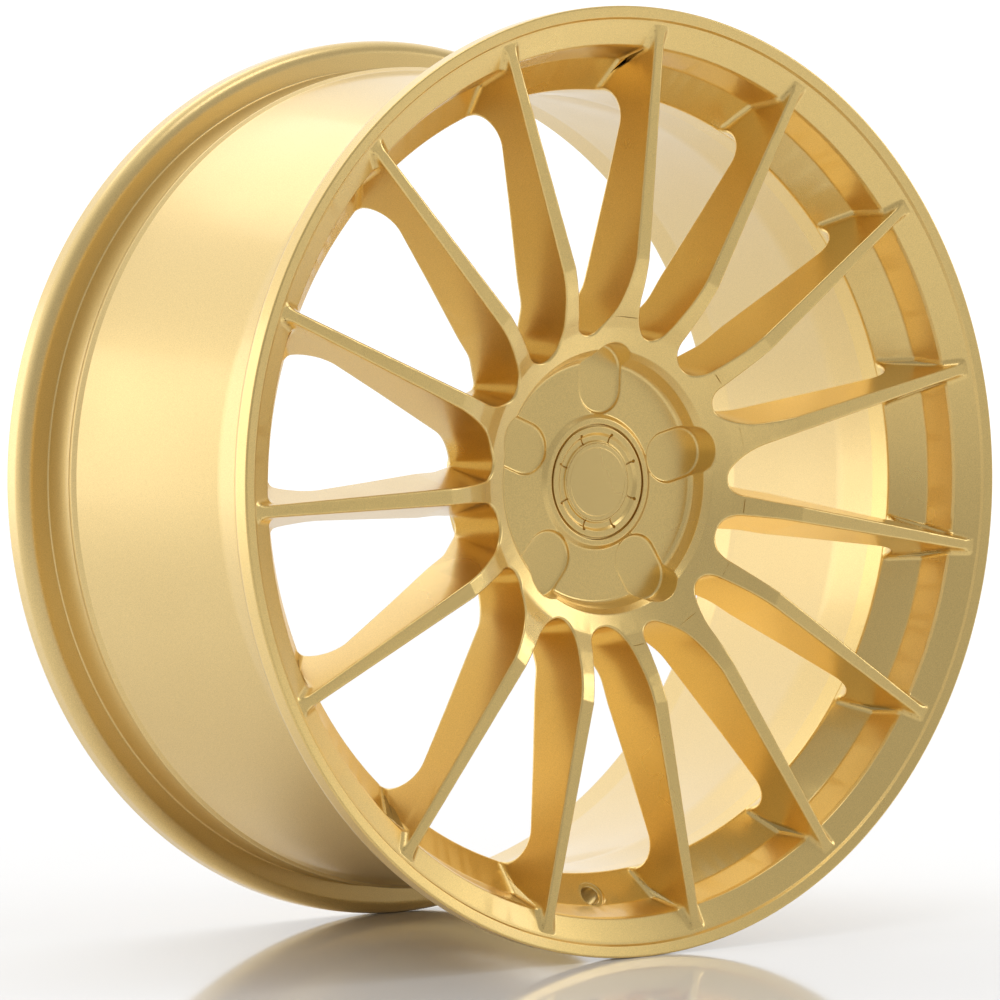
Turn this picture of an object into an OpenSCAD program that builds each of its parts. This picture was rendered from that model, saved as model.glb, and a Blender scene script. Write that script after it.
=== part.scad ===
// Forged light-alloy racing wheel with fifteen spokes in five groups of three.
// The wheel axis is Y, the outboard face looks toward -Y and Z is up.
// The origin is on the axis in the wheel's centre plane, halfway across its width.
// Sections are drawn as [radius, depth], depth being measured inward from the outboard edge.

/* [Rim] */
// Specified rim diameter at the bead seats
rim_diameter = 487.4; // [460:1:500]
// Width between the two bead faces
rim_width = 215.9; // [190:1:240]
// Height of each flange above the bead seat
flange_height = 17.5; // [16:0.5:19]
// Distance from each bead face out to the edge of its flange
flange_depth = 16.8; // [15.5:0.1:18]
// Radius of the curl between a bead face and the flange's outer band
flange_curl = 9.5; // [8:0.5:10]
// Drop in radius from the bead seat to the outside of the well
well_drop = 20.6; // [18:0.1:22]
// Wall thickness in the well
well_wall = 4.6; // [4:0.1:6]
// Wall thickness where the barrel meets the inboard bead seat
barrel_wall = 3.9; // [3.5:0.1:6]

/* [Spokes] */
// Angle of the first spoke above +X, in degrees
first_spoke = 15; // [0:1:71]
// Half width of a spoke's side faces carried forward to the outboard edge plane
spoke_half = 1.9; // [1.4:0.1:2.6]
// Sideways growth of a spoke for each millimetre of depth
draft = 0.225; // [0.2:0.005:0.24]
// Radius at which the spoke face turns down toward the hub
kink_radius = 124; // [120:1:128]
// Depth of the spoke face at that radius
kink_depth = 11.2; // [10:0.2:13]
// Depth of the back of a spoke at its inner end
spoke_back = 62; // [60:0.5:64]
// Depth of the back of a spoke out by the rim
spoke_tip_back = 27.8; // [26:0.2:29]
// Radius of the curve from the back of a spoke into the rim
tip_curve = 16.5; // [15:0.5:17]

/* [Hub] */
// Radius of the cylinder where the spokes meet the hub
hub_radius = 92; // [92:0.5:94]
// Depth of the dish floor
dish_depth = 46; // [44.5:0.5:47]
// Radius of the dish at its outboard edge
dish_radius = 73.2; // [72:0.2:74]
// Depth of the mounting face
mount_depth = 84.5; // [80:0.5:92]
// Radius of the mounting pad
pad_radius = 76; // [72:1:78]
// Radius of the centre bore
bore_radius = 36.3; // [33:0.05:38]
// Length of the centre bore, from the mounting face to the step behind the cap
bore_length = 20; // [16:0.5:24]
// Radius of each lug pocket's rounded ends
pocket_radius = 14.6; // [13:0.2:15]
// Depth of the lug pocket floors
pocket_depth = 48; // [47:0.5:49]

/* [Valve hole] */
// Radius of the valve hole
valve_radius = 5.65; // [4.2:0.05:6]
// Radius of the flat seat around it
valve_seat = 8.4; // [7.5:0.1:9]
// Angle of the valve hole around the wheel, in degrees above +X
valve_angle = 267; // [264:1:270]
// Lean of the valve's axis from radial toward the inboard side, in degrees
valve_lean = 54; // [48:1:58]

/* [Cap] */
// Radius of the cap's flange
cap_radius = 31.2; // [30.8:0.1:31.6]
// Depth of the cap's outboard face
cap_depth = 44; // [43.6:0.1:44.4]
// Thickness of the cap's flange
cap_flange = 3; // [2.6:0.1:3.4]
// Radius of the skirt that plugs into the hub
skirt_radius = 29.75; // [29:0.05:30]
// Length of the skirt behind the flange
skirt_length = 15; // [12:0.5:18]
// Radius of the centre disc
badge_radius = 21.7; // [20:0.1:22.5]
// Thickness of the centre disc
badge_thick = 1.6; // [1.2:0.1:2]
// Number of radial slots in the cap's face
cap_slots = 8; // [6:1:10]

/* [Hidden] */
$fn = 96;

gold = [0.80, 0.64, 0.34];
pale_gold = [0.84, 0.69, 0.41];
steel = [0.62, 0.62, 0.64];

// Running clearance between the cap and the hub.
clearance = 0.05;

// Rim section
seat_r = rim_diameter / 2;
flange_r = seat_r + flange_height;
total_w = rim_width + 2 * flange_depth;
front_bead = flange_depth;
rear_bead = total_w - flange_depth;
curl_r = flange_r - flange_curl;
seat_w = 20;
seat_fall = 1.6;
hump = 1.2;
well_r = seat_r - well_drop;
throat_r = well_r - well_wall;
throat_y = front_bead + 28;
well_end = front_bead + 69;
taper_end = rear_bead - seat_w - 7.5;
rear_in_r = seat_r - barrel_wall;
split_flange = front_bead + 6;
split_front = front_bead + seat_w + 22;
valve_down = 0.34;
seat_sink = 1.3;
split_rear = taper_end - 3;
ring_r = flange_r - 6.8;
ring_y = 3.4;
panel_r = flange_r - 20.2;
panel_y = 10.8;
wall_r = panel_r - 5.8;
wall_y = 29;

// Spokes
pitch = 24;
face_rim_y = 4.4;
back_turn_r = 110;
back_turn_y = 50;
flare_r0 = 104;
flare_radius = 32;
flare_bite = 0.02;
curve_bite = 0.02;
notch_y = 29;
nn_notch = 13;
nn_centre = 93.3;
wn_notch = 9;
wn_centre = 92;
wn_angle = 14.25;
face_edge_y = 33.4;
collar_r = dish_radius - 4.7;
far = 400;

// Cap
counterbore_r = cap_radius + 1.2;
seat_y = cap_depth + cap_flange + clearance;
lip_end = seat_y + 6;
lip_r = skirt_radius + clearance;
bore_start = mount_depth - bore_length;
skirt_wall = 2.2;
skirt_end = cap_depth + cap_flange + skirt_length;
ring_wire = 0.8;
ring_at = skirt_end - 3.4;
groove_r = skirt_radius - skirt_wall + 0.7;
trench_r = 27.6;
trench_y = cap_depth + 1.7;
badge_y = cap_depth + 0.4;

// Spoke face from the dish out to the rim, as [radius, depth]
face = [[dish_radius + 0.8, face_edge_y], [86, 29], [96, 22.6], [108, 16.4], [116, 13.3],
    [kink_radius, kink_depth], [ring_r - 2, face_rim_y]];

function face_y(r) = lookup(r, face);

// Half width of a spoke's straight side at a given depth
function side(y) = spoke_half + draft * y;

// How far the centre of a wide spoke's flare lies to the side of the spoke's middle
function flare_z() = side(notch_y) + flare_radius - flare_bite;

// Revolves a [radius, depth] section about the wheel axis
module turned() {
    rotate([-90, 0, 0]) rotate_extrude($fn = 180) children();
}

// Turns a sector of a section, centred on +X
module turned_sector(half) {
    rotate([-90, 0, 0]) rotate_extrude(angle = 2 * half, start = -half, $fn = 180) children();
}

// Puts a child drawn along +X at an angle around the wheel
module around(angle) {
    rotate([0, -angle, 0]) children();
}

// Moves depth from the outboard edge into the wheel's own frame
module placed() {
    translate([0, -total_w / 2, 0]) children();
}

// Round flare of a wide spoke's foot. It bites into the straight side by flare_bite, so that
// the two surfaces cross and don't merely touch.
module flare_cone() {
    draft_cone(flare_r0, flare_z(), flare_radius, notch_y);
}

// A cone along the axis whose radius is r at depth y0 and closes with the draft
module draft_cone(x, z, r, y0) {
    deep = min(r / draft - 0.5, 60);
    translate([x, y0 - 40, z]) rotate([-90, 0, 0])
        cylinder(h = 40 + deep, r1 = r + 40 * draft, r2 = r - deep * draft);
}

// Everything beyond a drafted side face through [x, z] at depth y0; slope is dz/dx
module beyond_side(x, y0, z, slope) {
    turn = atan(slope);
    translate([x, y0, z]) rotate([atan(draft * cos(turn)), -turn, 0])
        translate([-far, -far, 0]) cube([2 * far, 2 * far, far]);
}

// Slope of the line from a spoke's kink that just touches a notch at the hub
function foot_slope(centre, angle, notch) =
    let (dx = centre * cos(angle) - kink_radius, dz = centre * sin(angle) - side(notch_y))
    tan(atan2(dz, dx) + asin(notch / norm([dx, dz])));

// Rim section between its inner and outer surfaces
module rim_section() {
    polygon([
        [flange_r - 0.8, 0],
        [flange_r, 0.8],
        [flange_r, front_bead - flange_curl],
        [curl_r, front_bead],
        [seat_r, front_bead],
        [seat_r, front_bead + 2],
        [seat_r - seat_fall, front_bead + seat_w],
        [seat_r - seat_fall + hump, front_bead + seat_w + 1.8],
        [seat_r - seat_fall + hump, front_bead + seat_w + 3.2],
        [seat_r - seat_fall - 0.8, front_bead + seat_w + 5.2],
        [well_r, front_bead + seat_w + 18],
        [well_r, well_end],
        [seat_r - seat_fall - 0.6, taper_end],
        [seat_r - seat_fall + hump, taper_end + 3],
        [seat_r - seat_fall + hump, taper_end + 5],
        [seat_r - seat_fall, taper_end + 7.5],
        [seat_r, rear_bead - 2],
        [seat_r, rear_bead],
        [curl_r, rear_bead],
        [flange_r, rear_bead + flange_curl],
        [flange_r, total_w - 1.6],
        [flange_r - 1.6, total_w],
        [flange_r - 8.4, total_w],
        [rear_in_r + 5.5, rear_bead + 7.4],
        [rear_in_r + 1, rear_bead + 3],
        [rear_in_r, rear_bead - seat_w],
        [rear_in_r - 1.4, taper_end],
        [throat_r, well_end + 2],
        [throat_r, throat_y],
        [wall_r, wall_y],
        [panel_r - 1, panel_y + 2],
        [panel_r, panel_y],
        [ring_r - 2, face_rim_y],
        [ring_r - 0.4, ring_y],
        [ring_r + 0.6, 1.6],
    ]);
    // The curl of each flange and the radius at the heel of each bead seat
    for (bead = [[front_bead, 0], [rear_bead, 1]])
        translate([0, bead[0]]) mirror([0, bead[1]]) {
            translate([curl_r, -flange_curl]) intersection() {
                circle(flange_curl);
                square(flange_curl);
            }
            translate([seat_r, 0]) bead_heel(5);
        }
}

// Concave fillet between the bead seat and the bead face
module bead_heel(r) {
    difference() {
        square(r);
        translate([r, r]) circle(r);
    }
}

// Rim section cut to a band of depth
module rim_band(from, to) {
    intersection() {
        rim_section();
        translate([0, from]) square([flange_r + 10, to - from]);
    }
}

// Section of the disc: spoke face in front, spoke back behind, rim surface outside
module disc_section() {
    slope = (back_turn_y - spoke_tip_back) / (throat_r - tip_curve - back_turn_r);
    curve_y = spoke_tip_back + tip_curve * norm([1, slope]);
    touch = tip_curve * sin(atan(slope));
    difference() {
        polygon([
            [hub_radius, face_y(hub_radius)],
            for (p = face) if (p[0] > hub_radius) p,
            [panel_r, panel_y],
            [panel_r - 1, panel_y + 2],
            [wall_r, wall_y],
            [throat_r, throat_y],
            [throat_r, max(curve_y, throat_y)],
            [throat_r - tip_curve - touch, curve_y],
            [throat_r - tip_curve - touch, spoke_tip_back + touch * slope],
            [back_turn_r, back_turn_y],
            [hub_radius, spoke_back],
        ]);
        // The back of the spoke curves round into the rim, and bites into the lines it joins
        translate([throat_r - tip_curve, curve_y]) circle(tip_curve + curve_bite);
    }
}

module wide_spoke() {
    difference() {
        turned_sector(13.4) disc_section();
        for (s = [0, 1]) mirror([0, 0, s]) {
            intersection() {
                beyond_side(flare_r0, 0, side(0), 0);
                translate([flare_r0, -far, 0]) cube(2 * far);
            }
            flare_cone();
        }
    }
}

// flip = 0 puts the neighbouring wide spoke on the -Z side, flip = 1 on the +Z side
module narrow_spoke(flip) {
    mirror([0, 0, flip]) difference() {
        turned_sector(11.4) disc_section();
        for (s = [0, 1]) mirror([0, 0, s])
            beyond_side(kink_radius, 0, side(0), 0);
        beyond_side(kink_radius, notch_y, side(notch_y),
            foot_slope(nn_centre, pitch / 2, nn_notch));
        mirror([0, 0, 1]) beyond_side(kink_radius, notch_y, side(notch_y),
            foot_slope(wn_centre, pitch - wn_angle, wn_notch));
    }
}

// Spoke number n, counted round from the first; every third one has the wide foot
module spoke(n) {
    color(gold) placed() around(first_spoke + pitch * n) {
        if (n % 3 == 0) wide_spoke();
        if (n % 3 == 1) narrow_spoke(0);
        if (n % 3 == 2) narrow_spoke(1);
    }
}

// Hub from the bore out to the feet of the spokes
module hub_section() {
    polygon([
        [lip_r, seat_y],
        [counterbore_r, seat_y],
        [counterbore_r, cap_depth],
        [counterbore_r + 3.2, cap_depth],
        [counterbore_r + 5.6, dish_depth],
        [collar_r - 1.5, dish_depth],
        [collar_r, dish_depth - 2.2],
        [collar_r + 2.3, dish_depth - 8.6],
        [dish_radius, face_edge_y + 1],
        for (p = face) if (p[0] < hub_radius) p,
        [hub_radius, face_y(hub_radius)],
        [hub_radius, spoke_back],
        [pad_radius + 6, spoke_back + 7],
        [pad_radius, mount_depth - 6],
        [pad_radius, mount_depth - 1],
        [pad_radius - 1, mount_depth],
        [bore_radius + 1.5, mount_depth],
        [bore_radius, mount_depth - 1.5],
        [bore_radius, bore_start],
        [lip_r + 2.2, bore_start],
        [lip_r + 2.2, lip_end],
        [lip_r, lip_end],
    ]);
}

// Windows between spokes end in drafted round notches in the hub
module hub_notches() {
    for (g = [0:4]) around(first_spoke + 72 * g) {
        around(1.5 * pitch) draft_cone(nn_centre, 0, nn_notch, notch_y);
        for (s = [0, 1]) mirror([0, 0, s]) {
            around(wn_angle) draft_cone(wn_centre, 0, wn_notch, notch_y);
            intersection() {
                flare_cone();
                flare_side();
            }
        }
    }
}

// The side of the line through the flare's and the notch's centres that faces the spoke
module flare_side() {
    cx = wn_centre * cos(wn_angle);
    cz = wn_centre * sin(wn_angle);
    turn = atan2(flare_z() - cz, flare_r0 - cx);
    translate([cx, 0, cz]) rotate([0, -turn, 0])
        translate([-far, -far, -far]) cube([2 * far, 2 * far, far]);
}

module lug_pocket() {
    inner = counterbore_r + 5.8 + pocket_radius;
    outer = dish_radius + 4.3 - pocket_radius;
    rotate([-90, 0, 0]) {
        translate([inner, 0, 0]) cylinder(h = pocket_depth, r = pocket_radius);
        translate([outer, 0, 0]) cylinder(h = pocket_depth, r = pocket_radius);
        translate([inner, -pocket_radius, 0])
            cube([outer - inner, 2 * pocket_radius, pocket_depth]);
    }
}

module hub_centre() {
    color(gold) placed() difference() {
        turned() hub_section();
        hub_notches();
        for (g = [0:4]) around(first_spoke + 72 * g) lug_pocket();
    }
}

// Bore and spot face in the sloped wall behind the outboard bead seat
module valve_cut() {
    at = [wall_r, wall_y] + valve_down * [throat_r - wall_r, throat_y - wall_y];
    around(valve_angle) translate([at[0], at[1], 0]) rotate([0, 0, valve_lean])
        rotate([0, 90, 0]) {
            translate([0, 0, -30]) cylinder(h = 60, r = valve_radius);
            translate([0, 0, -30]) cylinder(h = 30 + seat_sink, r = valve_seat);
        }
}

module outboard_flange() {
    color(gold) placed() turned() rim_band(-1, split_flange);
}

module outboard_seat() {
    color(gold) placed() difference() {
        turned() rim_band(split_flange, split_front);
        valve_cut();
    }
}

module barrel() {
    color(pale_gold) placed() turned() rim_band(split_front, split_rear);
}

module inboard_rim() {
    color(pale_gold) placed() turned() rim_band(split_rear, total_w + 1);
}

// Moulded cap: flange, trench round the disc seat, and a skirt split into legs
module cap_body() {
    color(gold) placed() difference() {
        turned() polygon([
            [0, badge_y + badge_thick],
            [badge_radius + clearance, badge_y + badge_thick],
            [badge_radius + clearance, cap_depth + 0.6],
            [badge_radius + 0.9, cap_depth + 0.6],
            [badge_radius + 1.5, trench_y],
            [trench_r - 1.6, trench_y],
            [trench_r, cap_depth],
            [cap_radius - 0.5, cap_depth],
            [cap_radius, cap_depth + 0.5],
            [cap_radius, cap_depth + cap_flange],
            [skirt_radius, cap_depth + cap_flange],
            [skirt_radius, skirt_end - 1],
            [skirt_radius - 1, skirt_end],
            [skirt_radius - skirt_wall, skirt_end],
            [skirt_radius - skirt_wall, ring_at + ring_wire + 0.1],
            [groove_r, ring_at + ring_wire + 0.1],
            [groove_r, ring_at - ring_wire - 0.1],
            [skirt_radius - skirt_wall, ring_at - ring_wire - 0.1],
            [skirt_radius - skirt_wall, cap_depth + cap_flange + 1.4],
            [0, cap_depth + cap_flange + 1.4],
        ]);
        for (i = [0:cap_slots - 1]) around(24.4 + i * 360 / cap_slots) {
            translate([badge_radius + 0.8, 0, -0.45]) cube([6, trench_y + 1.2, 0.9]);
            translate([trench_r + 0.2, 0, 0]) rotate([-90, 0, 0])
                cylinder(h = trench_y + 1.2, r = 0.9);
            translate([skirt_radius - 4, cap_depth + cap_flange + 2.2, -1])
                cube([8, skirt_length, 2]);
        }
    }
}

module cap_badge() {
    color(pale_gold) placed() turned() polygon([
        [0, badge_y],
        [badge_radius - 0.5, badge_y],
        [badge_radius, badge_y + 0.5],
        [badge_radius, badge_y + badge_thick],
        [0, badge_y + badge_thick],
    ]);
}

// Wire ring that keeps the cap's legs pressed outward
module cap_spring_ring() {
    color(steel) placed() turned()
        translate([groove_r - ring_wire - clearance, ring_at]) circle(ring_wire);
}

hub_centre();
spoke(0);  // spoke_01
spoke(1);  // spoke_02
spoke(2);  // spoke_03
spoke(3);  // spoke_04
spoke(4);  // spoke_05
spoke(5);  // spoke_06
spoke(6);  // spoke_07
spoke(7);  // spoke_08
spoke(8);  // spoke_09
spoke(9);  // spoke_10
spoke(10);  // spoke_11
spoke(11);  // spoke_12
spoke(12);  // spoke_13
spoke(13);  // spoke_14
spoke(14);  // spoke_15
outboard_flange();
outboard_seat();
barrel();
inboard_rim();
cap_body();
cap_badge();
cap_spring_ring();
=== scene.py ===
"""Forged racing wheel: filleted meshes for every piece, satin gold paint and a bright studio."""

import math

import bmesh
import bpy
import numpy as np
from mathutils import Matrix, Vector


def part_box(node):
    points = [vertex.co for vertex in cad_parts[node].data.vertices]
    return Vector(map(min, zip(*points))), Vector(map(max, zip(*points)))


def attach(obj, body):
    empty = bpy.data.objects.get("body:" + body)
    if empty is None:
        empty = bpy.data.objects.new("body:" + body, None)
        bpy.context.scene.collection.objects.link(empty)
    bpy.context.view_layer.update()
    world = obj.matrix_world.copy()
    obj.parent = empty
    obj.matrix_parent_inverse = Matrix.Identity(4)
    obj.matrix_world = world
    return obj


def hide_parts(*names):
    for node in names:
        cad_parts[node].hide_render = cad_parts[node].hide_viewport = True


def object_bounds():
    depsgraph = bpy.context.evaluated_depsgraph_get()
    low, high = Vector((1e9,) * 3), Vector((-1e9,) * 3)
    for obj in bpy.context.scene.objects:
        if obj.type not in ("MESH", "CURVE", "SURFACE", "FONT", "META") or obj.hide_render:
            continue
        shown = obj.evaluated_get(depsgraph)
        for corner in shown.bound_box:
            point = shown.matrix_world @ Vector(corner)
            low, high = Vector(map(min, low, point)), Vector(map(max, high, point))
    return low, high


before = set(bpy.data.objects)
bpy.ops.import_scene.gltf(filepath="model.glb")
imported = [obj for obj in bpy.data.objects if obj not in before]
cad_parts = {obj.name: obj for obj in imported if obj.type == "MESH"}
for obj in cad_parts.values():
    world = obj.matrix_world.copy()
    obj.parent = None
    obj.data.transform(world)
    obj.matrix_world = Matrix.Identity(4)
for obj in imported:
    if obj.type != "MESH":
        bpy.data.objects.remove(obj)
cad_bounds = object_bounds()

MM = 0.001

# Sizes of the wheel in millimetres. A section is [radius, depth from the outboard edge].
TOTAL_W = (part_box("inboard_rim")[1].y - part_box("outboard_flange")[0].y) / MM
FLANGE_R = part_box("outboard_flange")[1].z / MM

# Five groups of one wide and two narrow spokes; the first wide spoke's angle and the pitch
FIRST_SPOKE = 15
PITCH = 24
GROUPS = 5
GROUP_TURN = 360 / GROUPS
HALF_GROUP = math.radians(GROUP_TURN / 2)
# Half width of a spoke at the outboard edge, and how much it grows per millimetre of depth
SIDE_AT_EDGE = 1.9
DRAFT = 0.225

# Rim: bead faces, flange curl, seat, well and the inside of the barrel
FRONT_BEAD = 16.8
REAR_BEAD = TOTAL_W - FRONT_BEAD
SEAT_R = FLANGE_R - 17.5
CURL = 9.5
WELL_R = SEAT_R - 20.6
THROAT_R = WELL_R - 4.6
THROAT_Y = FRONT_BEAD + 28
WELL_END = FRONT_BEAD + 69
TAPER_END = REAR_BEAD - 27.5
REAR_IN_R = SEAT_R - 3.9
SPLIT_FRONT = FRONT_BEAD + 42
SPLIT_REAR = TAPER_END - 3

# Front of the rim, hub edge and the run of the spokes
RING_R = FLANGE_R - 6.8
PANEL_R = FLANGE_R - 20.2
WALL_R = PANEL_R - 5.8
HUB_R = 92
KINK_R = 124
TIP_CURVE = 16.5
TIP_BACK = 27.8
BACK_TURN = (110, 50)

# Window ends near the hub: NN between two narrow spokes, WN beside a wide one. Each has its
# notch's radius, its distance from the axis and, for WN, its angle from the wide spoke
NOTCH_Y = 29
NN_NOTCH, NN_CENTRE = 13, 93.3
WN_NOTCH, WN_CENTRE, WN_ANGLE = 9, 92, 14.25
FLARE = 32

# Hub dish, cap seat, lug pockets and valve hole
DISH_R, DISH_Y = 73.2, 46
COUNTERBORE_R, CAP_Y = 32.4, 44
POCKET_R, POCKET_Y = 14.6, 48
POCKET_INNER = COUNTERBORE_R + 5.8 + POCKET_R
POCKET_OUTER = DISH_R + 4.3 - POCKET_R
VALVE_ANGLE, VALVE_LEAN, VALVE_R, VALVE_SEAT = 267, 54, 5.65, 8.4
VALVE_DOWN, VALVE_SINK = 0.34, 1.3

# Radii of the blends: window corners at the rim, and the spokes' front and back edges, which
# change over from one to the other between two depths
CORNER_FILLET = 3.5
FRONT_EDGE, BACK_EDGE = 0.9, 2.2
EDGE_FROM, EDGE_OVER = 24, 12

# Sampling of the disc, where it is cut from the lathed rim, and steps round a lathed piece
GRID = 0.7
GRID_R, GRID_FRONT, GRID_BACK = 28.5, 0.6, 87
GRID_ARC = 245
RING_CUT = RING_R - 1.1
BARREL_CUT = 51
BARREL_CUT_R = 205
LATHE_STEPS = 400
SMALL_STEPS = 144
FILLET_STEP = math.radians(9)
# Half angle above which a corner of an outline counts as straight
STRAIGHT = 1.5707

WORLD_FRONT, WORLD_BACK = 0.47, 1.12


# ---------------------------------------------------------------- sections

def rounded(corners, closed=True):
    """Points along an outline of (radius, depth, corner radius), and the outward normals of the
    stretches before and after each. Outward is the way (step in depth, -step in radius)."""
    points, normals = [], []
    count = len(corners)
    for i, (r, y, radius) in enumerate(corners):
        here = np.array([r, y], float)
        if not closed and i in (0, count - 1):
            other = corners[1] if i == 0 else corners[-2]
            along = (np.array(other[:2]) - here) * (1 if i == 0 else -1)
            along /= np.linalg.norm(along)
            points.append(here)
            normals.append([(along[1], -along[0])] * 2)
            continue
        a = np.array(corners[i - 1][:2], float) - here
        b = np.array(corners[(i + 1) % count][:2], float) - here
        la, lb = np.linalg.norm(a), np.linalg.norm(b)
        a, b = a / la, b / lb
        half = math.acos(np.clip(a @ b, -1, 1)) / 2
        cut = min(radius / math.tan(half), 0.48 * la, 0.48 * lb) if half < STRAIGHT else 0
        radius = cut * math.tan(half)
        normal_in = np.array([-a[1], a[0]])
        normal_out = np.array([b[1], -b[0]])
        if cut < 1e-3:
            points.append(here)
            normals.append([normal_in, normal_out])
            continue
        steps = max(2, math.ceil((math.pi - 2 * half) / FILLET_STEP))
        centre = here + (a + b) / np.linalg.norm(a + b) * radius / math.sin(half)
        bend = 1 if normal_in @ (here + a * cut - centre) > 0 else -1
        for k in range(steps + 1):
            t = k / steps
            turn = math.pi - 2 * half
            mixed = (math.sin((1 - t) * turn) * normal_in + math.sin(t * turn) * normal_out)
            mixed /= np.linalg.norm(mixed)
            points.append(centre + mixed * radius * bend)
            normals.append([mixed, mixed])
    return np.array(points), np.array(normals)


def section_distance(outline, r, y):
    """Signed distance from points to a closed outline, negative inside it."""
    shape = np.broadcast(r, y).shape
    px = np.broadcast_to(r, shape).ravel().astype(np.float64)
    py = np.broadcast_to(y, shape).ravel().astype(np.float64)
    best = np.full(px.shape, np.inf)
    inside = np.zeros(px.shape, bool)
    for (ax, ay), (bx, by) in zip(outline, np.roll(outline, -1, 0)):
        ex, ey = bx - ax, by - ay
        t = np.clip(((px - ax) * ex + (py - ay) * ey) / max(ex * ex + ey * ey, 1e-12), 0, 1)
        best = np.minimum(best, (px - ax - t * ex) ** 2 + (py - ay - t * ey) ** 2)
        if ey:
            crosses = ((ay > py) != (by > py)) & (px < ex * (py - ay) / ey + ax)
            inside ^= crosses
    return (np.sqrt(best) * np.where(inside, -1, 1)).reshape(shape)


# ---------------------------------------------------------------- blends

def both(a, b, radius):
    """Intersection of two fields with a rounded edge."""
    edge = np.hypot(np.maximum(radius + a, 0), np.maximum(radius + b, 0))
    return np.minimum(-radius, np.maximum(a, b)) + edge


# ---------------------------------------------------------------- disc field

def spoke_side(y):
    """Half width of a spoke at a depth."""
    return SIDE_AT_EDGE + DRAFT * y


# Window side of the rim: throat, wall, panel and front ring, closed far outside the metal
RIM_INSIDE = rounded([
    (THROAT_R, 130, 0),
    (THROAT_R, THROAT_Y, 3),
    (WALL_R, 29, 4),
    (PANEL_R - 1, 12.8, 1),
    (PANEL_R, 10.8, 0.8),
    (RING_R - 2, 4.4, 0.8),
    (RING_R - 0.4, 3.4, 0.5),
    (RING_R + 0.6, 1.6, 0.5),
    (FLANGE_R + 60, 1.6, 0),
    (FLANGE_R + 60, 130, 0),
])[0]


def disc_outline():
    """Hub and spoke section, carried on into the rim's metal."""
    reach = THROAT_R - TIP_CURVE - BACK_TURN[0]
    slope = (BACK_TURN[1] - TIP_BACK) / reach
    curve_y = TIP_BACK + TIP_CURVE * math.hypot(1, slope)
    arc = []
    first = math.atan(slope)
    for k in range(13):
        turn = -math.pi / 2 - first + k / 12 * (math.pi / 2 + first)
        arc.append((THROAT_R - TIP_CURVE + TIP_CURVE * math.cos(turn),
                    curve_y + TIP_CURVE * math.sin(turn), 0))
    front = [
        (29.8, 47.05, 0.3),
        (COUNTERBORE_R, 47.05, 0.3),
        (COUNTERBORE_R, CAP_Y, 0.4),
        (COUNTERBORE_R + 3.2, CAP_Y, 0.7),
        (COUNTERBORE_R + 5.6, DISH_Y, 1.2),
        (DISH_R - 6.2, DISH_Y, 2.5),
        (DISH_R - 4.7, DISH_Y - 2.2, 1.5),
        (DISH_R - 2.4, DISH_Y - 8.6, 2),
        (DISH_R, 34.4, 1.2),
        (DISH_R + 0.8, 33.4, 1.2),
        (86, 29, 14),
        (96, 22.6, 40),
        (108, 16.4, 40),
        (116, 13.3, 40),
        (KINK_R, 11.2, 8),
        (RING_R - 2, 4.4, 0),
        (RING_R - 4.9, 9, 0),
        (WALL_R + 3.8, 28, 0),
        (THROAT_R + 4, 47, 0),
    ]
    back = [
        (*BACK_TURN, 20),
        (HUB_R, 62, 14),
        (82, 69, 8),
        (76, 78.5, 4),
        (76, 84.5, 1.2),
        (36.3, 84.5, 1.4),
        (36.3, 53.05, 0.4),
        (29.8, 53.05, 0.4),
    ]
    return rounded(front + arc[::-1] + back)[0]


DISC = disc_outline()


def foot(centre, angle, notch):
    """Unit direction along a narrow spoke's foot line, outward, in that spoke's own plane."""
    dx = centre * math.cos(math.radians(angle)) - KINK_R
    dz = centre * math.sin(math.radians(angle)) - spoke_side(NOTCH_Y)
    turn = math.atan2(dz, dx) + math.asin(notch / math.hypot(dx, dz)) - math.pi
    return math.cos(turn), math.sin(turn)


def narrow_clearance(x, z, y, along):
    """Distance outside the straight side and the foot line of a narrow spoke along +x."""
    straight = z - spoke_side(y)
    sloped = (z - spoke_side(NOTCH_Y)) * along[0] - (x - KINK_R) * along[1] - DRAFT * (y - NOTCH_Y)
    return np.maximum(straight, sloped)


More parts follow.
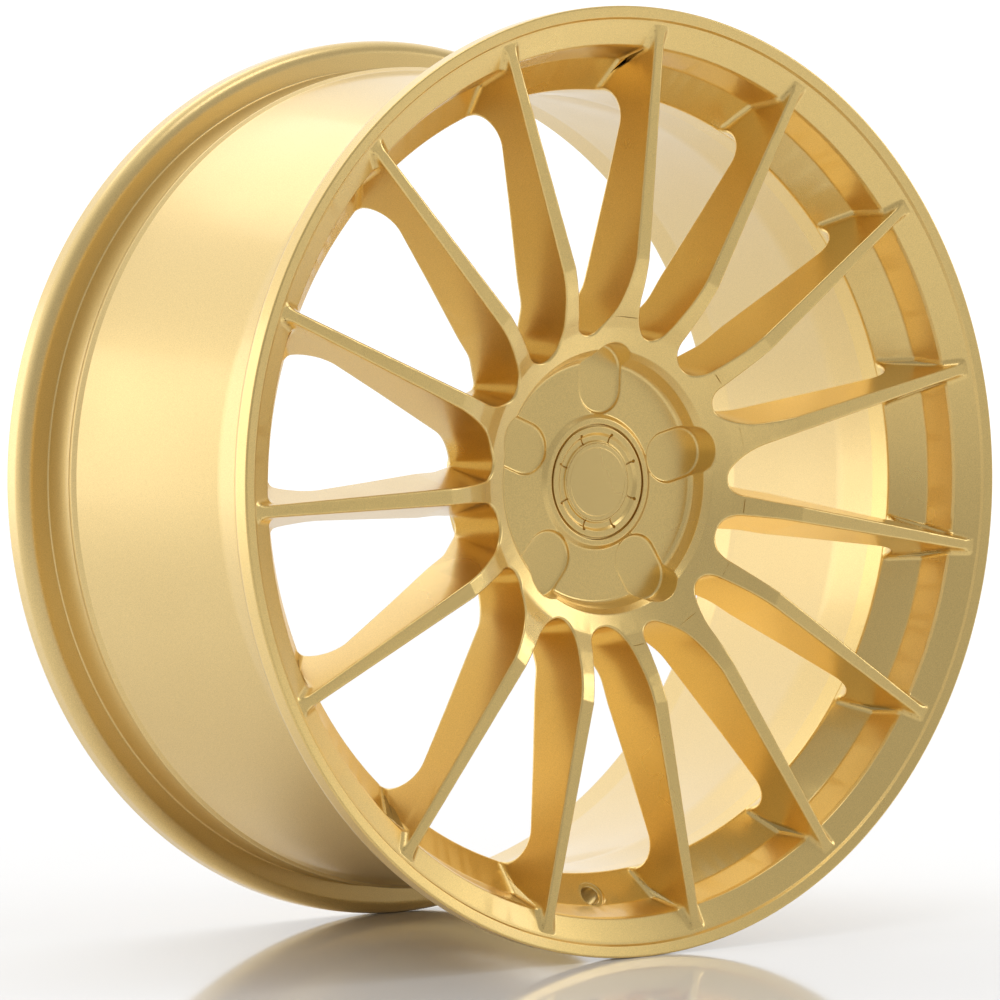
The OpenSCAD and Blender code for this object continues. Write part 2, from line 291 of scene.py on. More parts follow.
def window_clearance(r, angle, y):
    """How far a point is inside a window, measured from the spokes and the hub.
    angle runs from the middle of a wide spoke, 0, to the middle of the window 36 degrees on."""
    x, z = r * np.cos(angle), r * np.sin(angle)
    local = angle - math.radians(PITCH)
    nx, nz = r * np.cos(local), r * np.sin(local)
    shrink = DRAFT * (y - NOTCH_Y)

    # Window beside the wide spoke
    wn = math.radians(WN_ANGLE)
    cx, cz = WN_CENTRE * math.cos(wn), WN_CENTRE * math.sin(wn)
    fz = spoke_side(NOTCH_Y) + FLARE
    fx = cx + math.sqrt((FLARE - WN_NOTCH) ** 2 - (fz - cz) ** 2)
    ux, uz = (cx - fx) / (FLARE - WN_NOTCH), (cz - fz) / (FLARE - WN_NOTCH)
    flare = FLARE - shrink - np.hypot(x - fx, z - fz)
    wide = np.where(x >= fx, z - spoke_side(y), flare)
    along = foot(WN_CENTRE, PITCH - WN_ANGLE, WN_NOTCH)
    narrow = narrow_clearance(nx, -nz, y, along)
    notch = WN_NOTCH - shrink - np.hypot(x - cx, z - cz)
    off = math.radians(WN_ANGLE - PITCH)
    ox, oz = WN_CENTRE * math.cos(off), WN_CENTRE * math.sin(off)
    behind = (nx - ox) * along[0] - (nz - oz) * along[1] < 0
    past = ux * (z - fz) - uz * (x - fx) <= 0
    beside_wide = np.where(behind & past, notch, np.minimum(wide, narrow))

    # Window between two narrow spokes
    along = foot(NN_CENTRE, PITCH / 2, NN_NOTCH)
    off = math.radians(PITCH / 2)
    ox, oz = NN_CENTRE * math.cos(off), NN_CENTRE * math.sin(off)
    narrow = narrow_clearance(nx, nz, y, along)
    notch = NN_NOTCH - shrink - np.hypot(nx - ox, nz - oz)
    behind = (nx - ox) * along[0] + (nz - oz) * along[1] < 0
    between = np.where(behind, notch, narrow)

    return np.where(angle < math.radians(PITCH), beside_wide, between) / math.hypot(1, DRAFT)


def disc_field(r, angle, y, sections=None):
    """Field of hub, spokes and the rim's inner surfaces: negative in metal."""
    disc, rim = sections or (section_distance(DISC, r, y), section_distance(RIM_INSIDE, r, y))
    window = both(-window_clearance(r, angle, y), -rim, CORNER_FILLET)
    edge = FRONT_EDGE + (BACK_EDGE - FRONT_EDGE) * np.clip((y - EDGE_FROM) / EDGE_OVER, 0, 1)
    solid = np.minimum(rim, both(disc, -window, edge))
    x, z = r * np.cos(angle), r * np.sin(angle)
    slot = np.hypot(x - np.clip(x, POCKET_INNER, POCKET_OUTER), z) - POCKET_R
    pocket = both(slot, y - POCKET_Y, 1.6)
    return both(solid, -pocket, 0.7)


# ---------------------------------------------------------------- isosurface

def surface_net(values, axes):
    """Quads round the zero surface of a field sampled on a grid. Returns the vertices in the
    grid's own coordinates, the quads, and each vertex's cell."""
    inside = values < 0
    cells = tuple(n - 1 for n in values.shape)
    mixed = np.zeros(cells, bool)
    corner0 = inside[:-1, :-1, :-1]
    for i in (0, 1):
        for j in (0, 1):
            for k in (0, 1):
                part = inside[i:i + cells[0], j:j + cells[1], k:k + cells[2]]
                mixed |= part != corner0
    index = np.full(cells, -1, np.int64)
    where = np.argwhere(mixed)
    index[mixed] = np.arange(len(where))
    total = np.zeros((len(where), 3))
    hits = np.zeros(len(where))
    for axis in range(3):
        step = np.eye(3, dtype=int)[axis]
        others = [a for a in range(3) if a != axis]
        for i in (0, 1):
            for j in (0, 1):
                base = where.copy()
                base[:, others[0]] += i
                base[:, others[1]] += j
                a = values[tuple(base.T)]
                b = values[tuple((base + step).T)]
                cross = (a < 0) != (b < 0)
                t = a[cross] / (a[cross] - b[cross])
                spot = base[cross].astype(float)
                spot[:, axis] += t
                total[cross] += spot
                hits[cross] += 1
    spots = total / hits[:, None]
    quads = []
    for axis in range(3):
        o1, o2 = (axis + 1) % 3, (axis + 2) % 3
        low = [slice(None)] * 3
        high = [slice(None)] * 3
        low[axis], high[axis] = slice(0, -1), slice(1, None)
        change = inside[tuple(low)] != inside[tuple(high)]
        at = np.argwhere(change)
        at = at[(at[:, o1] > 0) & (at[:, o2] > 0)
                & (at[:, o1] < cells[o1]) & (at[:, o2] < cells[o2])]
        ring = []
        for d1, d2 in ((0, 0), (-1, 0), (-1, -1), (0, -1)):
            spot = at.copy()
            spot[:, o1] += d1
            spot[:, o2] += d2
            ring.append(index[tuple(spot.T)])
        quad = np.stack(ring, 1)
        outward = inside[tuple(at.T)]
        quad[~outward] = quad[~outward][:, ::-1]
        quads.append(quad)
    places = np.stack([np.interp(spots[:, a], np.arange(len(axes[a])), axes[a])
                       for a in range(3)], 1)
    return places, np.concatenate(quads), where


# ---------------------------------------------------------------- meshes from fields

def to_row(places):
    """Sector coordinates (x along the wide spoke, depth, z) in mm to the row frame in metres."""
    moved = np.array(places, float)
    moved[:, 1] -= TOTAL_W / 2
    return moved * MM


def turned(places, degrees, flip=False):
    """Copies a sector's points round the axis, mirrored in its own middle plane if flip."""
    c, s = math.cos(math.radians(degrees)), math.sin(math.radians(degrees))
    z = -places[:, 2] if flip else places[:, 2]
    return np.stack([places[:, 0] * c - z * s, places[:, 1], places[:, 0] * s + z * c], 1)


def gradient(field, places, h=0.02):
    """Slope of a field at points, by central differences."""
    slope = np.empty_like(places)
    for a in range(3):
        step = np.zeros(3)
        step[a] = h
        slope[:, a] = (field(places + step) - field(places - step)) / (2 * h)
    return slope


def settle(field, places, rounds=2):
    """Moves points onto the zero surface and returns them with their outward normals."""
    places = places.copy()
    for _ in range(rounds):
        slope = gradient(field, places)
        size = np.maximum((slope ** 2).sum(1), 0.05)
        places -= np.clip(field(places) / size, -0.5, 0.5)[:, None] * slope
    normals = gradient(field, places)
    return places, normals / np.maximum(np.linalg.norm(normals, axis=1), 1e-9)[:, None]


def half_sector(field, radii, depths, half, cells):
    """Surface of a field over one half sector, whose first and last columns of vertices lie on
    the sector's two mirror planes. Returns places as (radius, angle, depth) and quads."""
    step = half / cells
    angles = (np.arange(cells + 2) - 0.5) * step
    folded = half - np.abs(half - np.abs(angles))
    values = field(radii[:, None, None], folded[None, :, None], depths[None, None, :])
    places, quads, cell = surface_net(values, (radii, angles, depths))
    places[cell[:, 1] == 0, 1] = 0
    places[cell[:, 1] == cells, 1] = half
    return places, quads


def used_only(places, faces):
    """Drops the vertices that no face uses."""
    kept, index = np.unique(faces, return_inverse=True)
    return places[kept], index.reshape(faces.shape)


def border_of(faces, count):
    """Which vertices lie on edges of one face only."""
    edges = np.concatenate([faces[:, [i, (i + 1) % faces.shape[1]]] for i in range(faces.shape[1])])
    edges = np.sort(edges, 1)
    unique, times = np.unique(edges, axis=0, return_counts=True)
    on = np.zeros(count, bool)
    on[unique[times == 1].ravel()] = True
    return on


def thinned(places, faces, ratio):
    """Collapses a dense mesh, leaving its border vertices where they are."""
    mesh = bpy.data.meshes.new("dense")
    mesh.from_pydata(places.tolist(), [], faces.tolist())
    held = bpy.data.objects.new("dense", mesh)
    bpy.context.scene.collection.objects.link(held)
    free = held.vertex_groups.new(name="free")
    free.add(np.flatnonzero(~border_of(faces, len(places))).tolist(), 1.0, "REPLACE")
    thin = held.modifiers.new("thin", "DECIMATE")
    thin.ratio = ratio
    thin.vertex_group = "free"
    thin.vertex_group_factor = 1
    seen = held.evaluated_get(bpy.context.evaluated_depsgraph_get())
    result = seen.to_mesh()
    result.calc_loop_triangles()
    spots = np.empty(len(result.vertices) * 3)
    result.vertices.foreach_get("co", spots)
    tris = np.empty(len(result.loop_triangles) * 3, np.int32)
    result.loop_triangles.foreach_get("vertices", tris)
    seen.to_mesh_clear()
    bpy.data.objects.remove(held)
    bpy.data.meshes.remove(mesh)
    return spots.reshape(-1, 3), tris.reshape(-1, 3).astype(np.int64)


def merged(parts):
    """Joins (places, tris, corner normals) parts, welding vertices that coincide."""
    places = np.concatenate([p for p, _, _ in parts])
    first = np.cumsum([0] + [len(p) for p, _, _ in parts])
    tris = np.concatenate([t + f for (_, t, _), f in zip(parts, first)])
    corners = np.concatenate([c for _, _, c in parts])
    keys = np.round(places * 1000).astype(np.int64)
    _, kept, index = np.unique(keys, axis=0, return_index=True, return_inverse=True)
    tris = index.reshape(-1)[tris]
    whole = (tris[:, 0] != tris[:, 1]) & (tris[:, 1] != tris[:, 2]) & (tris[:, 2] != tris[:, 0])
    return places[kept], tris[whole], corners[whole]


def facing(places, tris, corners):
    """Turns the faces whose winding disagrees with their corner normals."""
    a, b, c = (places[tris[:, i]] for i in range(3))
    wrong = (np.cross(b - a, c - a) * corners.mean(1)).sum(1) < 0
    tris, corners = tris.copy(), corners.copy()
    tris[wrong] = tris[wrong][:, ::-1]
    corners[wrong] = corners[wrong][:, ::-1]
    return tris, corners


def piece(name, part, material, body="wheel", slot="forging_paint", stands_for=None):
    """A closed smooth piece that stands for the CAD node of the same name, or for the nodes
    given. Borders that lie inside the metal are capped."""
    places, tris, corners = part
    tris, corners = facing(places, tris, corners)
    mesh = bpy.data.meshes.new(name)
    mesh.from_pydata(to_row(places).tolist(), [], tris.tolist())
    work = bmesh.new()
    work.from_mesh(mesh)
    loose = [e for e in work.edges if len(e.link_faces) == 1]
    bmesh.ops.holes_fill(work, edges=loose, sides=0)
    work.to_mesh(mesh)
    work.free()
    mesh.shade_smooth()
    given = corners.reshape(-1, 3)
    extra = [face.normal for face in list(mesh.polygons)[len(tris):]
             for _ in range(face.loop_total)]
    if extra:
        given = np.concatenate([given, np.array(extra)])
    mesh.normals_split_custom_set(given.tolist())
    mesh.materials.append(material)
    made = bpy.data.objects.new("wheel_" + name if body == "wheel" else "centre_" + name, mesh)
    bpy.context.scene.collection.objects.link(made)
    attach(made, body)
    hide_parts(*(stands_for or [name]))
    return made


# ---------------------------------------------------------------- lathed surfaces

def lathe(points, normals, steps=LATHE_STEPS):
    """Surface of revolution of an open profile, as (places, tris, corner normals)."""
    angles = np.arange(steps) / steps * 2 * math.pi
    c, s = np.cos(angles)[:, None], np.sin(angles)[:, None]
    r, y = points[:, 0], points[:, 1]
    level = np.broadcast_to(y, (steps, len(r)))
    places = np.stack([r * c, level, r * s], 2).reshape(-1, 3)

    def spun(side):
        nr, ny = normals[:, side, 0], normals[:, side, 1]
        return np.stack([nr * c, np.broadcast_to(ny, (steps, len(r))), nr * s], 2).reshape(-1, 3)

    before, after = spun(0), spun(1)
    i = np.arange(steps)[:, None]
    j = np.arange(len(r) - 1)[None, :]
    a = (i * len(r) + j).ravel()
    b = ((i + 1) % steps * len(r) + j).ravel()
    tris = np.concatenate([np.stack([a, b, b + 1], 1), np.stack([a, b + 1, a + 1], 1)])
    corners = np.concatenate([np.stack([after[a], after[b], before[b + 1]], 1),
                              np.stack([after[a], before[b + 1], before[a + 1]], 1)])
    return places, tris, corners


def zipped(places_a, normals_a, places_b, normals_b):
    """Strip between two closed rings of vertices sampled at different angles."""
    order = [np.argsort(np.arctan2(p[:, 2], p[:, 0])) for p in (places_a, places_b)]
    places = np.concatenate([places_a[order[0]], places_b[order[1]]])
    normals = np.concatenate([normals_a[order[0]], normals_b[order[1]]])
    turn = np.arctan2(places[:, 2], places[:, 0])
    na, nb = len(places_a), len(places_b)
    turn_a = np.append(turn[:na], turn[0] + 2 * math.pi)
    turn_b = np.append(turn[na:], turn[na] + 2 * math.pi)
    tris = []
    i = j = 0
    while i < na or j < nb:
        if j >= nb or (i < na and turn_a[i + 1] <= turn_b[j + 1]):
            tris.append((i % na, (i + 1) % na, na + j % nb))
            i += 1
        else:
            tris.append((na + (j + 1) % nb, na + j % nb, i % na))
            j += 1
    tris = np.array(tris)
    return places, tris, normals[tris]


# ---------------------------------------------------------------- hub, spokes and rim

def at_points(field, half):
    """A field of (radius, angle, depth) in one half sector, as a field of points anywhere."""
    def value(p):
        angle = np.abs(np.arctan2(p[:, 2], p[:, 0]))
        angle = half - np.abs(half - angle)
        return field(np.hypot(p[:, 0], p[:, 2]), angle, p[:, 1])
    return value


def sector_parts(field, radii, depths, half, cells, pick, ratios):
    """Half-sector meshes of a field, one per region that pick tells apart, each as
    (places, tris, corner normals) with its borders shared exactly."""
    places, quads = half_sector(field, radii, depths, half, cells)
    region = pick(places[quads])
    c, s = np.cos(places[:, 1]), np.sin(places[:, 1])
    points = np.stack([places[:, 0] * c, places[:, 2], places[:, 0] * s], 1)
    value = at_points(field, half)
    made = {}
    for name, ratio in ratios.items():
        spots, faces = used_only(points, quads[region == name])
        spots, tris = thinned(spots, faces, ratio)
        angle = np.arctan2(spots[:, 2], spots[:, 0])
        reach = np.hypot(spots[:, 0], spots[:, 2])
        for plane in (0, half):
            on = np.abs(angle - plane) < 1e-5
            spots[on, 0] = reach[on] * math.cos(plane)
            spots[on, 2] = reach[on] * math.sin(plane)
        spots, normals = settle(value, spots)
        tris, corners = facing(spots, tris, normals[tris])
        made[name] = (spots, tris, corners)
    return made


def spun_copy(part, degrees, flip=False):
    """A part's copy turned round the axis, mirrored first if flip."""
    places, tris, corners = part
    normals = turned(corners.reshape(-1, 3), degrees, flip).reshape(corners.shape)
    if flip:
        return turned(places, degrees, True), tris[:, ::-1], normals[:, ::-1]
    return turned(places, degrees), tris, normals


def all_round(part, half):
    """The whole ring made of a half sector and its mirror images."""
    count = int(round(math.pi / half))
    step = math.degrees(2 * half)
    return merged([spun_copy(part, FIRST_SPOKE + k * step, flip)
                   for k in range(count) for flip in (False, True)])


def disc_regions(corners):
    """Names the region that each quad of the disc belongs to."""
    middle = corners.mean(1)
    r, angle, y = middle.T
    gap = section_distance(RIM_INSIDE, r, y)
    beyond = (corners[:, :, 0] > BARREL_CUT_R).any(1) & (corners[:, :, 2] > BARREL_CUT).any(1)
    wide = angle < math.radians(WN_ANGLE)
    names = np.where(gap < 1, "rim", np.where(wide, "wide", "narrow"))
    names = np.where(r < HUB_R, "hub", names)
    return np.where(beyond, "none", names)


def forging(material):
    """Hub and spokes as pieces; returns the rim's window side, still open."""
    half = HALF_GROUP
    radii = np.linspace(GRID_R, RING_CUT, int((RING_CUT - GRID_R) / GRID) + 1)
    depths = np.linspace(GRID_FRONT, GRID_BACK, int((GRID_BACK - GRID_FRONT) / GRID) + 1)
    cells = int(half * GRID_ARC / GRID)
    ratios = {"hub": 0.045, "wide": 0.06, "narrow": 0.06, "rim": 0.05}
    parts = sector_parts(disc_field, radii, depths, half, cells, disc_regions, ratios)
    piece("hub_centre", all_round(parts["hub"], half), material)
    for n in range(3 * GROUPS):
        at = FIRST_SPOKE + PITCH * n
        group = FIRST_SPOKE + GROUP_TURN * (n // 3)
        if n % 3 == 0:
            part = merged([spun_copy(parts["wide"], at), spun_copy(parts["wide"], at, True)])
        elif n % 3 == 1:
            part = spun_copy(parts["narrow"], group)
        else:
            part = spun_copy(parts["narrow"], group + GROUP_TURN, True)
        piece("spoke_%02d" % (n + 1), part, material)
    return all_round(parts["rim"], half)


def end_ring(part, test):
    """Border vertices of a part that pass a test of (radius, depth), with their normals."""
    places, tris, corners = part
    on = border_of(tris, len(places)) & test(np.hypot(places[:, 0], places[:, 2]), places[:, 1])
    normals = np.zeros_like(places)
    normals[tris.ravel()] = corners.reshape(-1, 3)
    return places[on], normals[on]


def outboard_rim(inner, material):
    """The rim's windows side from the field, closed by its lathed outside."""
    ring_a = end_ring(inner, lambda r, y: r > RING_CUT - 2 * GRID)
    ring_b = end_ring(inner, lambda r, y: (y > BARREL_CUT - 2 * GRID) & (r < THROAT_R + 1))
    start = (np.hypot(ring_a[0][0, 0], ring_a[0][0, 2]), ring_a[0][0, 1], 0)
    end = (THROAT_R, ring_b[0][:, 1].mean(), 0)
    points, normals = rounded([start, *RING_CORNERS, *FRONT_OUTSIDE, (THROAT_R, SPLIT_FRONT, 0), end],
                              closed=False)
    outside = lathe(points[1:-1], normals[1:-1])
    count = len(points) - 2
    strips = []
    for ring, column, side in ((ring_a, 0, 0), (ring_b, count - 1, 1)):
        rim_places = outside[0][column::count]
        angle = np.arctan2(rim_places[:, 2], rim_places[:, 0])
        nr, ny = normals[1:-1][column, side]
        rim_normals = np.stack([nr * np.cos(angle), np.full(len(angle), ny), nr * np.sin(angle)], 1)
        strips.append(zipped(*ring, rim_places, rim_normals))
    whole = merged([inner, outside, *strips])
    return piece("outboard_rim", whole, material, stands_for=["outboard_flange", "outboard_seat"])


def lathed_piece(name, corners, material, steps=LATHE_STEPS, **words):
    """A piece turned from a closed outline."""
    points, normals = rounded(corners)
    points = np.concatenate([points, points[:1]])
    normals = np.concatenate([normals, normals[:1]])
    return piece(name, merged([lathe(points, normals, steps)]), material, **words)


# Step from the panel up to the front ring
RING_CORNERS = [
    (RING_R - 0.4, 3.4, 0.5),
    (RING_R + 0.6, 1.6, 0.5),
]

# Outside of the rim, from the outboard edge to the split where the barrel starts
FRONT_OUTSIDE = [
    (FLANGE_R, 0, 1),
    (FLANGE_R, FRONT_BEAD, CURL),
    (SEAT_R, FRONT_BEAD, 5),
    (SEAT_R, FRONT_BEAD + 2, 0.5),
    (SEAT_R - 1.6, FRONT_BEAD + 20, 1),
    (SEAT_R - 0.4, FRONT_BEAD + 21.8, 1),
    (SEAT_R - 0.4, FRONT_BEAD + 23.2, 1),
    (SEAT_R - 2.4, FRONT_BEAD + 25.2, 3),
    (WELL_R, FRONT_BEAD + 38, 8),
    (WELL_R, SPLIT_FRONT, 0),
]


def taper_r(depth):
    """Radius of the barrel's outside between the well and the inboard seat."""
    return np.interp(depth, [WELL_END, TAPER_END], [WELL_R, SEAT_R - 2.2])


def bore_r(depth):
    """Radius of the barrel's inside between the throat and the inboard seat."""
    return np.interp(depth, [WELL_END + 2, TAPER_END], [THROAT_R, REAR_IN_R - 1.4])


def barrel(material):
    """The well and the tapered wall between the two splits."""
    lathed_piece("barrel", [
        (THROAT_R, SPLIT_FRONT, 0),
        (WELL_R, SPLIT_FRONT, 0),
        (WELL_R, WELL_END, 30),
        (taper_r(SPLIT_REAR), SPLIT_REAR, 0),
        (bore_r(SPLIT_REAR), SPLIT_REAR, 0),
        (THROAT_R, WELL_END + 2, 60),
    ], material)


def inboard_rim(material):
    """Inboard seat, hump and flange."""
    lathed_piece("inboard_rim", [
        (bore_r(SPLIT_REAR), SPLIT_REAR, 0),
        (taper_r(SPLIT_REAR), SPLIT_REAR, 0),
        (SEAT_R - 2.2, TAPER_END, 1),
        (SEAT_R - 0.4, TAPER_END + 3, 1.5),
        (SEAT_R - 0.4, TAPER_END + 5, 1.5),
        (SEAT_R - 1.6, TAPER_END + 7.5, 1),
        (SEAT_R, REAR_BEAD - 2, 0.5),
        (SEAT_R, REAR_BEAD, 5),
        (FLANGE_R, REAR_BEAD, CURL),
        (FLANGE_R, TOTAL_W, 1.8),
        (FLANGE_R - 8.4, TOTAL_W, 2),
        (REAR_IN_R + 5.5, REAR_BEAD + 7.4, 4),
        (REAR_IN_R + 1, REAR_BEAD + 3, 6),
        (REAR_IN_R, REAR_BEAD - 20, 20),
        (REAR_IN_R - 1.4, TAPER_END, 8),
    ], material)


# ---------------------------------------------------------------- centre cap

CAP_SLOTS = 8
SLOT_ANGLE = 24.4
CAP_GRID, CAP_CELLS = 0.2, 58
# Cap body's half section: disc seat, slotted flange, rim, skirt with the spring ring's groove
CAP_SECTION = rounded([
    (0, 46, 0), (21.75, 46, 0.1), (21.75, 44.6, 0.15), (22.6, 44.6, 0.3), (23.2, 45.7, 0.4),
    (26, 45.7, 0.6), (27.6, 44, 0.5), (31.2, 44, 0.6), (31.2, 47, 0.2), (29.75, 47, 0.2),
    (29.75, 62, 0.9), (27.55, 62, 0.2), (27.55, 59.5, 0.1), (28.25, 59.5, 0.1),
    (28.25, 57.7, 0.1), (27.55, 57.7, 0.1), (27.55, 48.4, 0.8), (0, 48.4, 0),
])[0]


def cap_field(r, angle, y):
    """Field of the cap body; angle runs from the middle of a slot."""
    solid = section_distance(CAP_SECTION, r, y)
    x, z = r * np.cos(angle), r * np.sin(angle)
    groove = np.maximum(z - 0.45, np.abs(x - 25.3) - 2.8)
    drop = np.hypot(x - 27.8, z) - 0.9
    slot = both(np.minimum(groove, drop), y - 46.9, 0.2)
    gap = np.maximum(np.maximum(z - 1, 49.2 - y), 25.75 - x)
    return both(both(solid, -slot, 0.18), -gap, 0.2)


def cap_body(material):
    """The cap with its eight slots and sprung legs."""
    half = math.pi / CAP_SLOTS
    radii = np.arange(0.4, 31.7, CAP_GRID)
    depths = np.arange(43.5, 62.5, CAP_GRID)
    parts = sector_parts(cap_field, radii, depths, half, CAP_CELLS,
                         lambda corners: np.full(len(corners), "cap"), {"cap": 0.10})
    part = merged([spun_copy(parts["cap"], SLOT_ANGLE + 360 / CAP_SLOTS * k, flip)
                   for k in range(CAP_SLOTS) for flip in (False, True)])
    piece("cap_body", part, material, body="cap", slot="cap_plastic")


def cap_badge(material):
    """Plain centre disc with one fine ring groove."""
    lathed_piece("cap_badge", [
        (0, 44.4, 0), (18.9, 44.4, 0.3), (19.15, 44.62, 0.2), (19.4, 44.4, 0.3), (21.7, 44.4, 0.5),
        (21.7, 46, 0.15), (0, 46, 0),
    ], material, steps=SMALL_STEPS, body="cap", slot="badge_plastic")


def cap_spring_ring(material):
    """Round wire in the groove inside the legs."""
    wire = [(27.4 + 0.8 * math.cos(t), 58.6 - 0.8 * math.sin(t), 0)
            for t in np.arange(20) / 20 * 2 * math.pi]
    lathed_piece("cap_spring_ring", wire, material, steps=SMALL_STEPS, body="cap", slot="spring_steel")


# ---------------------------------------------------------------- valve hole

def drill_valve(rim):
    """Cuts the valve hole, its spot face and a small chamfer through the sloped wall."""
    places, tris, _ = lathe(*rounded([
        (0, -28, 0), (VALVE_SEAT + 0.5, -28, 0), (VALVE_SEAT + 0.5, VALVE_SINK - 2, 0),
        (VALVE_SEAT, VALVE_SINK - 1.2, 0), (VALVE_SEAT, VALVE_SINK, 0.5),
        (VALVE_R + 0.5, VALVE_SINK, 0), (VALVE_R, VALVE_SINK + 0.5, 0), (VALVE_R, 30, 0), (0, 30, 0),
    ], closed=False), steps=96)
    places, tris, _ = merged([(places, tris, places[tris])])
    lean = math.radians(VALVE_LEAN)
    down = np.array([WALL_R, 29]) + VALVE_DOWN * np.array([THROAT_R - WALL_R, THROAT_Y - 29])
    out = np.array([math.cos(lean), math.sin(lean), 0])
    side = np.array([-math.sin(lean), math.cos(lean), 0])
    spots = (np.array([down[0], down[1], 0]) + places[:, 1:2] * out + places[:, 0:1] * side
             + places[:, 2:3] * np.array([0, 0, 1]))
    mesh = bpy.data.meshes.new("valve_cutter")
    mesh.from_pydata(to_row(turned(spots, VALVE_ANGLE)).tolist(), [], tris.tolist())
    mesh.materials.append(rim.data.materials[0])
    work = bmesh.new()
    work.from_mesh(mesh)
    bmesh.ops.recalc_face_normals(work, faces=work.faces[:])
    work.to_mesh(mesh)
    work.free()
    cutter = bpy.data.objects.new("valve_cutter", mesh)
    bpy.context.scene.collection.objects.link(cutter)
    cut = rim.modifiers.new("valve", "BOOLEAN")
    cut.object = cutter
    cut.solver = "EXACT"
    seen = rim.evaluated_get(bpy.context.evaluated_depsgraph_get())
    result = bpy.data.meshes.new_from_object(seen)
    rim.modifiers.remove(cut)
    old = rim.data
    rim.data = result
    result.name = old.name
    bpy.data.meshes.remove(old)
    bpy.data.objects.remove(cutter)
    bpy.data.meshes.remove(mesh)


# ---------------------------------------------------------------- materials

def paint(name, colour, rough, flake=0.1, coat=0.5, metal=0.85, turning=0.0):
    """Metallic paint: fine flakes in colour and normal, cloudy gloss, clear coat, and for turned
    surfaces faint rings along the wheel's axis."""
    mat = bpy.data.materials.new(name)
    mat.use_nodes = True
    nodes, links = mat.node_tree.nodes, mat.node_tree.links
    shader = nodes["Principled BSDF"]
    shader.inputs["Metallic"].default_value = metal
    shader.inputs["Coat Weight"].default_value = coat
    shader.inputs["Coat Roughness"].default_value = 0.09
    where = nodes.new("ShaderNodeTexCoord")

    def noise(scale, detail):
        made = nodes.new("ShaderNodeTexNoise")
        made.inputs["Scale"].default_value = scale
        made.inputs["Detail"].default_value = detail
        links.new(where.outputs["Object"], made.inputs["Vector"])
        return made

    flakes = noise(1900, 2)
    clouds = noise(14, 3)
    tint = nodes.new("ShaderNodeValToRGB")
    tint.color_ramp.elements[0].position = 0.3
    tint.color_ramp.elements[1].position = 0.7
    for element, factor in zip(tint.color_ramp.elements, (1 - flake, 1 + flake)):
        element.color = (*(min(1, c * factor) for c in colour), 1)
    links.new(flakes.outputs["Fac"], tint.inputs["Fac"])
    links.new(tint.outputs["Color"], shader.inputs["Base Color"])
    gloss = nodes.new("ShaderNodeMapRange")
    gloss.inputs["From Min"].default_value = 0.3
    gloss.inputs["From Max"].default_value = 0.7
    gloss.inputs["To Min"].default_value = rough - 0.035
    gloss.inputs["To Max"].default_value = rough + 0.035
    links.new(clouds.outputs["Fac"], gloss.inputs["Value"])
    links.new(gloss.outputs["Result"], shader.inputs["Roughness"])
    bump = nodes.new("ShaderNodeBump")
    bump.inputs["Strength"].default_value = 0.06
    bump.inputs["Distance"].default_value = 0.0002
    links.new(flakes.outputs["Fac"], bump.inputs["Height"])
    links.new(bump.outputs["Normal"], shader.inputs["Normal"])
    if turning:
        stretch = nodes.new("ShaderNodeMapping")
        stretch.inputs["Scale"].default_value = (0.5, 700, 0.5)
        links.new(where.outputs["Object"], stretch.inputs["Vector"])
        rings = nodes.new("ShaderNodeTexNoise")
        rings.inputs["Scale"].default_value = 1
        rings.inputs["Detail"].default_value = 3
        links.new(stretch.outputs["Vector"], rings.inputs["Vector"])
        ring_bump = nodes.new("ShaderNodeBump")
        ring_bump.inputs["Strength"].default_value = turning
        ring_bump.inputs["Distance"].default_value = 0.0004
        links.new(rings.outputs["Fac"], ring_bump.inputs["Height"])
        links.new(bump.outputs["Normal"], ring_bump.inputs["Normal"])
        links.new(ring_bump.outputs["Normal"], shader.inputs["Normal"])
    return mat


def build():
    """Makes the materials and every piece of the wheel and its cap."""
    gold = paint("gold_paint", (0.83, 0.60, 0.22), 0.30, metal=0.95)
    turned_gold = paint("gold_paint_on_turned_metal", (0.81, 0.60, 0.25), 0.32, turning=0.08)
    cap_gold = paint("gold_lacquer_on_plastic", (0.83, 0.60, 0.22), 0.30, flake=0.07, metal=0.92)
    disc_gold = paint("gold_lacquer_on_disc", (0.84, 0.61, 0.23), 0.27, flake=0.05, metal=0.92)
    steel = paint("drawn_spring_wire", (0.56, 0.56, 0.58), 0.25, flake=0.03, coat=0.0, metal=1.0)
    drill_valve(outboard_rim(forging(gold), gold))
    barrel(turned_gold)
    inboard_rim(turned_gold)
    cap_body(cap_gold)
    cap_badge(disc_gold)
    cap_spring_ring(steel)


# ---------------------------------------------------------------- camera, floor and light

def add(name, data, place=(0, 0, 0), aim=None):
    """Puts an object in the scene, turned to look at aim if one is given."""
    made = bpy.data.objects.new(name, data)
    made.location = place
    if aim is not None:
        made.rotation_euler = (Vector(aim) - Vector(place)).to_track_quat("-Z", "Y").to_euler()
    bpy.context.scene.collection.objects.link(made)
    return made


def camera():
    """Long lens, in front of the spoke face and to the left of the axis."""
    lens = bpy.data.cameras.new("camera")
    lens.lens = 137.42
    lens.sensor_width = 36
    place = Vector((-1.3095, -1.76515, 0.0325))
    view = add("camera", lens, place, place + Vector((0.5932, 0.8049, -0.0200)))
    bpy.context.scene.camera = view


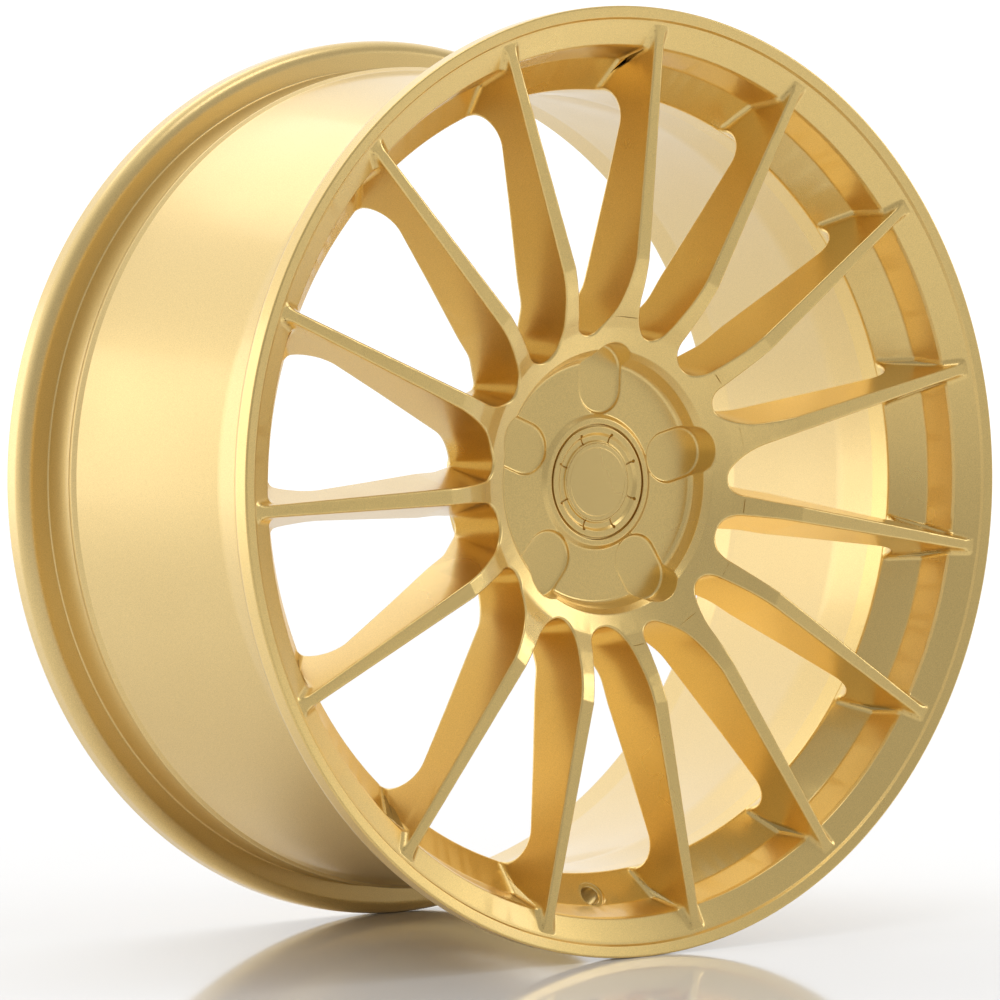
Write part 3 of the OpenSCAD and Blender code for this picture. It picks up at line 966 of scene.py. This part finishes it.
def floor():
    """Glossy white floor that the wheel stands on."""
    low = cad_bounds[0][2]
    mesh = bpy.data.meshes.new("floor")
    mesh.from_pydata([(-9, -9, low), (9, -9, low), (9, 9, low), (-9, 9, low)], [], [(0, 1, 2, 3)])
    mat = bpy.data.materials.new("gloss_white_floor")
    mat.use_nodes = True
    shader = mat.node_tree.nodes["Principled BSDF"]
    shader.inputs["Base Color"].default_value = (0.93, 0.93, 0.93, 1)
    shader.inputs["Roughness"].default_value = 0.07
    mesh.materials.append(mat)
    add("floor", mesh)


def softbox(name, place, aim, width, height, power):
    """A white rectangular lamp that looks at aim."""
    data = bpy.data.lights.new(name, "AREA")
    data.shape = "RECTANGLE"
    data.size, data.size_y = width, height
    data.energy = power
    return add(name, data, place, aim)


def light():
    """White studio: brighter behind the wheel than in front, and four soft boxes."""
    world = bpy.data.worlds.new("studio")
    bpy.context.scene.world = world
    world.use_nodes = True
    nodes, links = world.node_tree.nodes, world.node_tree.links
    where = nodes.new("ShaderNodeTexCoord")
    part = nodes.new("ShaderNodeSeparateXYZ")
    links.new(where.outputs["Generated"], part.inputs["Vector"])
    ramp = nodes.new("ShaderNodeMapRange")
    ramp.interpolation_type = "SMOOTHSTEP"
    ramp.inputs["From Min"].default_value = -0.6
    ramp.inputs["From Max"].default_value = 0.55
    ramp.inputs["To Min"].default_value = WORLD_FRONT
    ramp.inputs["To Max"].default_value = WORLD_BACK
    links.new(part.outputs["Y"], ramp.inputs["Value"])
    links.new(ramp.outputs["Result"], nodes["Background"].inputs["Strength"])
    nodes["Background"].inputs["Color"].default_value = (1, 1, 1, 1)
    softbox("back_left", (-1.6, 2.2, 0.4), (0.1, 0, 0), 1.6, 1.4, 5)
    softbox("back_top", (-0.2, 1.5, 2.2), (0, 0, 0), 1.6, 1.0, 4)
    softbox("front_right", (2.4, -1.7, 0.9), (0, 0, 0), 1.2, 1.0, 9)
    softbox("top", (0.1, -0.6, 2.3), (0, 0, 0), 1.2, 0.6, 5)
    bpy.context.scene.view_settings.view_transform = "Standard"


build()
camera()
floor()
light()
